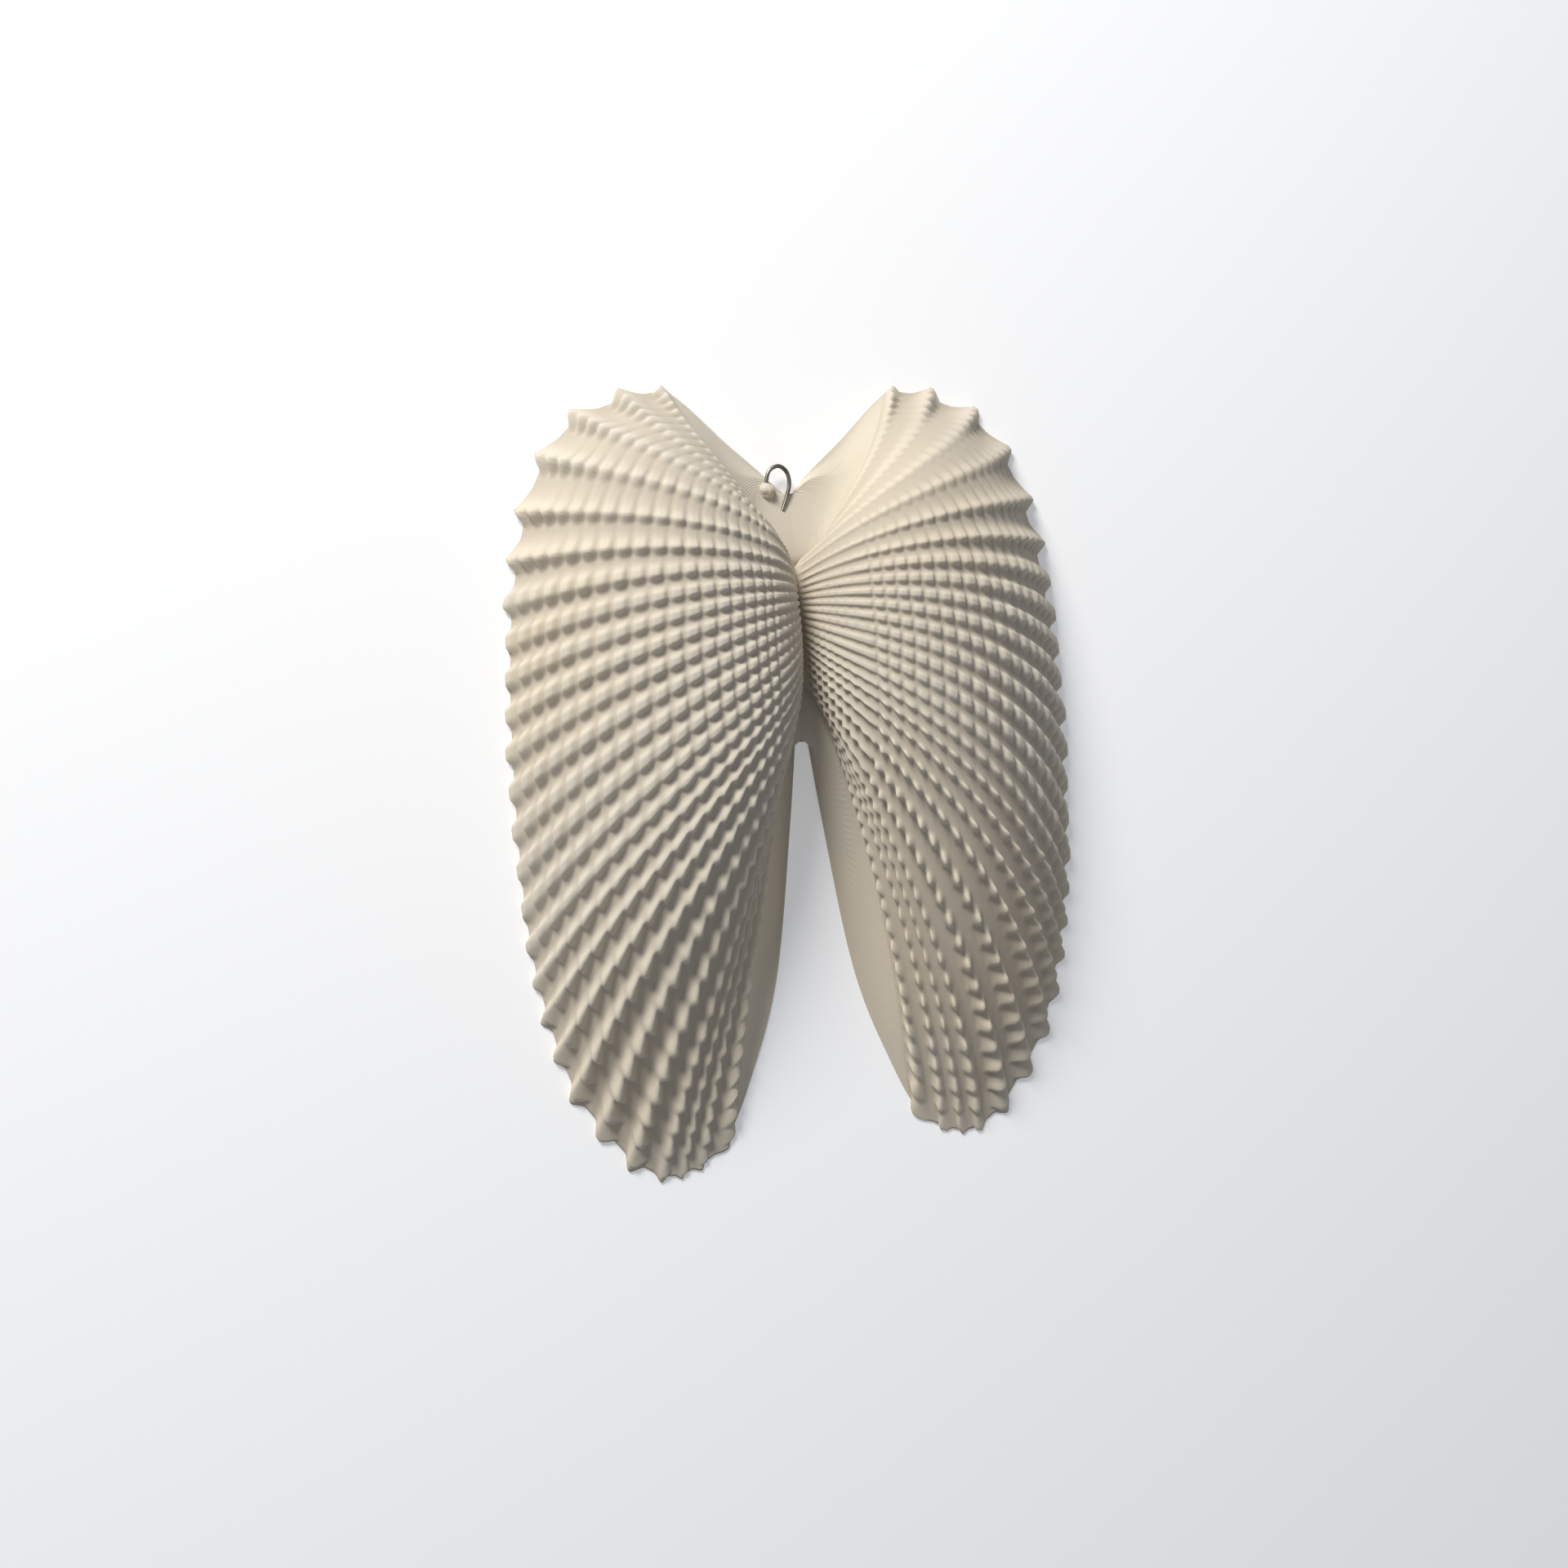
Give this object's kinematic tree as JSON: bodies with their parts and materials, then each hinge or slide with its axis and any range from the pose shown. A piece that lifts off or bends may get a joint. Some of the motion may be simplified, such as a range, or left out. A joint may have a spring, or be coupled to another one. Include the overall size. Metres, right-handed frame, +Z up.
{
  "type": "pair of piddock shell valves joined at the hinge",
  "caption": "Pair of long ribbed and beaded bivalve shell halves opened flat like wings and joined at the hinge, hollow behind, with a small wire hanging loop in the notch.",
  "frame": {"origin": "on the surface the rims rest on, under the middle of the pair", "axes": "+Z up out of the ribbed side, +Y along the hinge to the broad end with the loop, +X across the pair"},
  "size_m": [0.0952, 0.1244, 0.0183],
  "materials": {
    "shell": "matt",
    "wire": "dull"
  },
  "bodies": {
    "root": {"wing_pair": "shell", "hanging_loop": "wire"}
  },
  "joints": []
}
